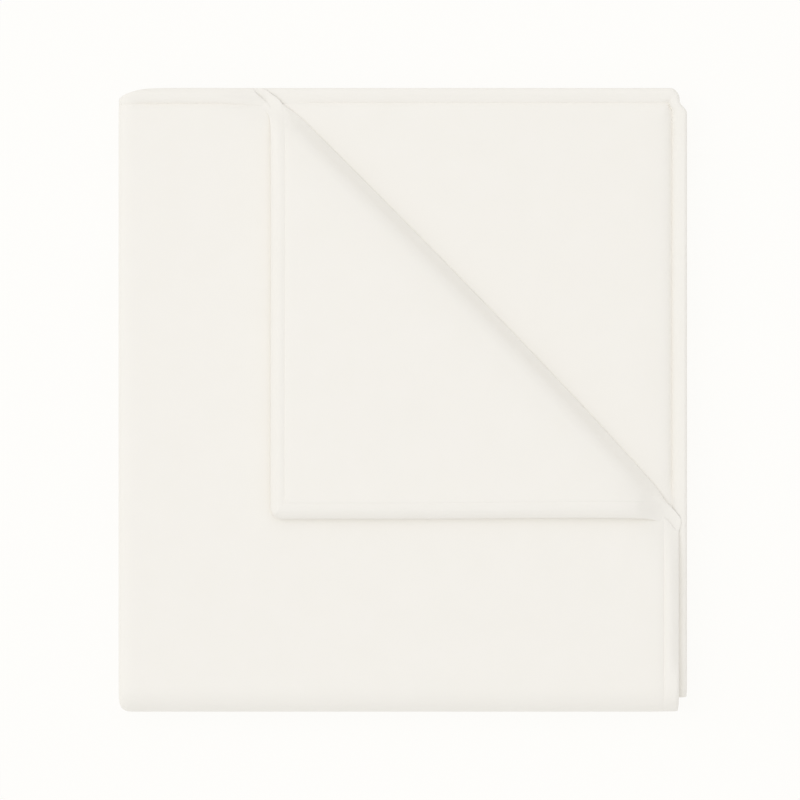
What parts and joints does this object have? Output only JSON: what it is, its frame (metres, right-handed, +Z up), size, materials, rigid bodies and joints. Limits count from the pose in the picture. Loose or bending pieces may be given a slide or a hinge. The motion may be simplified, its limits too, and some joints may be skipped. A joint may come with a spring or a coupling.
{
  "type": "folded comforter",
  "caption": "Thin filled baby comforter with a rolled binding, folded in quarters and laid flat, with the free corner of its top layer turned back.",
  "frame": {"origin": "middle of the flat underside of the folded comforter", "axes": "+Z up from the underside, +Y from the bottom fold towards the bound top edge, +X from the side fold towards the bound side edge"},
  "size_m": [0.465, 0.5115, 0.0593],
  "materials": {
    "cotton_sateen": "plain ivory cotton, fine close weave with a soft sheen",
    "cotton_binding": "the same ivory cotton, rolled round the edge and sewn down"
  },
  "bodies": {
    "root": {"comforter": "cotton_sateen", "binding": "cotton_binding"}
  },
  "joints": []
}
